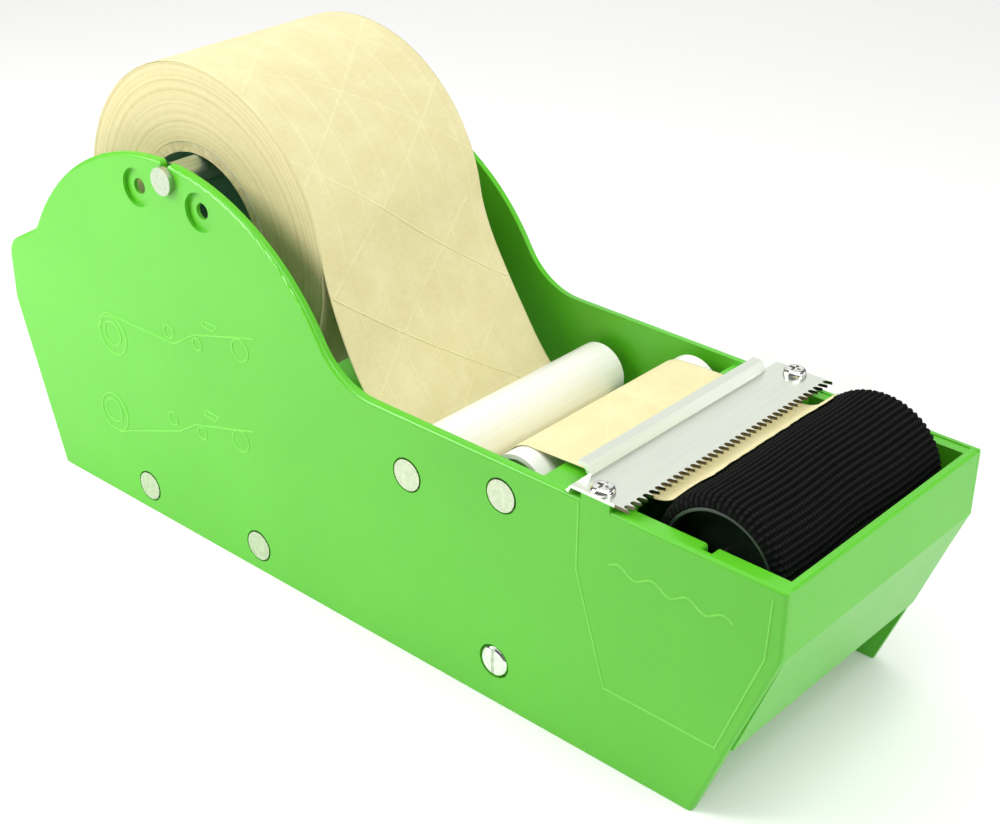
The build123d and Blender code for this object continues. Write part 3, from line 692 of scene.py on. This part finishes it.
def buildSleeve():
    # a tube round the drum: ribs run along the axis and sway a little, each rib is a row of
    # beads, and the ends roll over and tuck in against the drum
    half = halfSize("wet_roller_sleeve").y
    drum = halfSize("wet_roller_drum").x
    turn = np.linspace(0, 2 * np.pi, knit["ribs"] * knit["pointsPerRib"], endpoint=False)
    curl, wall = knit["curl"], sleeveRadius - drum
    lead = np.linspace(0, 1, 12, endpoint=False)
    flat = np.arange(-half + curl, half - curl, knit["stitchPitch"] / 4)
    # profile of the section: how far along the axis and how far in from the crown
    inwards = curl * (1 - np.cos(lead * np.pi / 2))
    tuck = wall * 0.93 * (1 - np.sin(lead * np.pi / 2))
    along = np.concatenate([-half + inwards, flat, (half - inwards)[::-1]])
    sink = np.concatenate([tuck, flat * 0, tuck[::-1]])
    sway = waves(8, 7, 25 * mm, 110 * mm)
    a, y = np.meshgrid(turn, along)
    shift = knit["sway"] * sway(a * sleeveRadius * 0.4, y) / sleeveRadius
    rib = (a + shift) * knit["ribs"]
    ridge = np.abs(np.cos(rib / 2)) ** 0.8
    # each rib's stitches lie half a stitch on from its neighbour's
    ribNumber = np.floor((rib + np.pi) / (2 * np.pi))
    bead = 0.5 + 0.5 * np.cos(2 * np.pi * y / knit["stitchPitch"] + ribNumber * np.pi)
    lumps = waves(9, 8, 12 * mm, 50 * mm)(a * sleeveRadius, y)
    # the relief fades as the end tucks in, so that it closes evenly round the drum
    fade = np.clip(1.25 - 1.25 * sink / (0.93 * wall), 0, 1)[:, None]
    radius = sleeveRadius - sink[:, None] - fade * (
        knit["ribDepth"] * (1 - ridge) + knit["stitchDepth"] * (1 - bead) * ridge + 0.12 * mm * (1 + lumps)
    )
    points = np.stack([sleeveCentre.x + radius * np.cos(a), y, sleeveCentre.z + radius * np.sin(a)], -1)
    height = np.concatenate([a[:1] * 0, ridge * (0.7 + 0.3 * bead), a[:1] * 0])
    inner = drum + 0.06 * mm
    aroundX, aroundZ = sleeveCentre.x + inner * np.cos(turn), sleeveCentre.z + inner * np.sin(turn)
    ends = [np.stack([aroundX, np.full_like(turn, end), aroundZ], -1) for end in (along[0], along[-1])]
    points = np.concatenate([ends[0][None], points, ends[1][None]])
    faces = quads(*points.shape[:2], closed=True, looped=True)
    piece = newPiece("knitSleeve", points, faces[:, ::-1], finish["knit_sleeve"])
    # the stitch height is kept on the points for the yarn's painted shade and highlight
    store = piece.data.attributes.new("knitShadeAndHighlight", "FLOAT", "POINT")
    store.data.foreach_set("value", height.ravel().astype(np.float32))
    return piece


knitSleeve = buildSleeve()
print("sleeve knitted")

# raised lines on the outside of both side panels: the tank's outline, its water level, and
# two ways of threading the tape
relief = {
    "height": 0.24 * mm,
    "halfWidth": 0.38 * mm,
    "root": -0.1 * mm,
    # side views in mm, x then z
    "lines": [
        [(98.5, 84.0), (98.5, 62.3), (110.0, 26.6), (148.9, 26.3), (162.0, 62.6), (162.8, 82.1)],
        [(-117.0, 65.7), (-115.6, 70.1), (-112.0, 73.0), (-109.2, 73.2), (-76.4, 73.4), (-73.8, 74.4),
         (-64.1, 80.6), (-34.0, 89.2)],
        [(-110.6, 26.4), (-104.2, 29.2), (-76.0, 39.8), (-67.0, 45.7), (-62.3, 47.0), (-37.0, 54.4)],
    ],
    "loops": [
        [(-59.5, 87.2), (-52.3, 87.3), (-54.3, 85.0), (-59.6, 85.6)],
        [(-61.3, 53.4), (-54.5, 53.2), (-56.7, 50.8), (-61.5, 51.5)],
    ],
    # x, z, radius
    "circles": [
        (-109.0, 65.2, 7.2), (-109.3, 65.9, 4.4), (-77.6, 77.3, 2.4), (-63.2, 77.4, 2.2), (-41.6, 82.6, 3.9),
        (-112.6, 33.8, 7.2), (-113.0, 34.4, 4.4), (-79.5, 43.4, 2.4), (-64.0, 43.6, 2.2), (-44.2, 48.2, 3.9),
    ],
    # the water's surface: from x, to x, z, wavelength, height
    "wave": (110.0, 151.4, 68.8, 11.8, 1.3),
}


panelOuter = -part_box("left_side_panel")[0].y


def ridge(line, side, looped):
    # a low ridge along a side view line: at each point a five-sided section, set square to the
    # mean of the two directions there and widened by one over the cosine of half the bend
    line = np.asarray(line, float) * mm
    step = np.diff(np.concatenate([line, line[:1]]) if looped else line, axis=0)
    step /= np.linalg.norm(step, axis=1, keepdims=True)
    into = np.roll(step, 1, axis=0) if looped else np.concatenate([step[:1], step])
    away = step if looped else np.concatenate([step, step[-1:]])
    mean = into + away
    mean /= np.linalg.norm(mean, axis=1, keepdims=True)
    widen = 1 / np.maximum((mean * away).sum(1), 0.5)
    square = np.stack([-mean[:, 1], mean[:, 0]], -1) * widen[:, None]
    low, high = relief["root"], relief["height"]
    section = [(-1.0, low), (-0.6, 0.8 * high), (0.0, high), (0.6, 0.8 * high), (1.0, low)][::side]
    rings = []
    for across, up in section:
        spot = line + square * relief["halfWidth"] * across
        rings.append(np.stack([spot[:, 0], np.full(len(spot), side * (panelOuter + up)), spot[:, 1]], -1))
    return np.stack(rings, 1)


def buildRelief():
    wave = relief["wave"]
    x = np.linspace(wave[0], wave[1], 90)
    surface = np.stack([x, wave[2] + wave[4] * np.sin(2 * np.pi * (x - wave[0]) / wave[3])], -1)
    turn = np.linspace(0, 2 * np.pi, 36, endpoint=False)
    rounds = [np.stack([x + r * np.cos(turn), z + r * np.sin(turn)], -1) for x, z, r in relief["circles"]]
    plain = [(line, False) for line in relief["lines"] + [surface]]
    loops = [(line, True) for line in relief["loops"] + rounds]
    points, faces, offset = [], [], 0
    for side in (-1, 1):
        for line, looped in plain + loops:
            rings = ridge(line, side, looped)
            faces.extend((quads(len(rings), 5, closed=True, looped=looped) + offset).tolist())
            if not looped:
                faces.append([offset + k for k in range(4, -1, -1)])
                faces.append([offset + len(rings) * 5 - 5 + k for k in range(5)])
            points.append(rings.reshape(-1, 3))
            offset += len(rings) * 5
    return newPiece("panelRelief", np.concatenate(points), faces, highlightGreen, smooth=False)


panelRelief = buildRelief()
print("relief lines raised")

# what rides on what
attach(panelRelief, "root")
for piece in (tapeSheet, tapeStrands):
    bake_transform(piece)
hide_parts("tape_web")
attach(tapeWindings, "roll")
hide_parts("tape_roll")
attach(knitSleeve, "wet_roller")
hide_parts("wet_roller_sleeve")
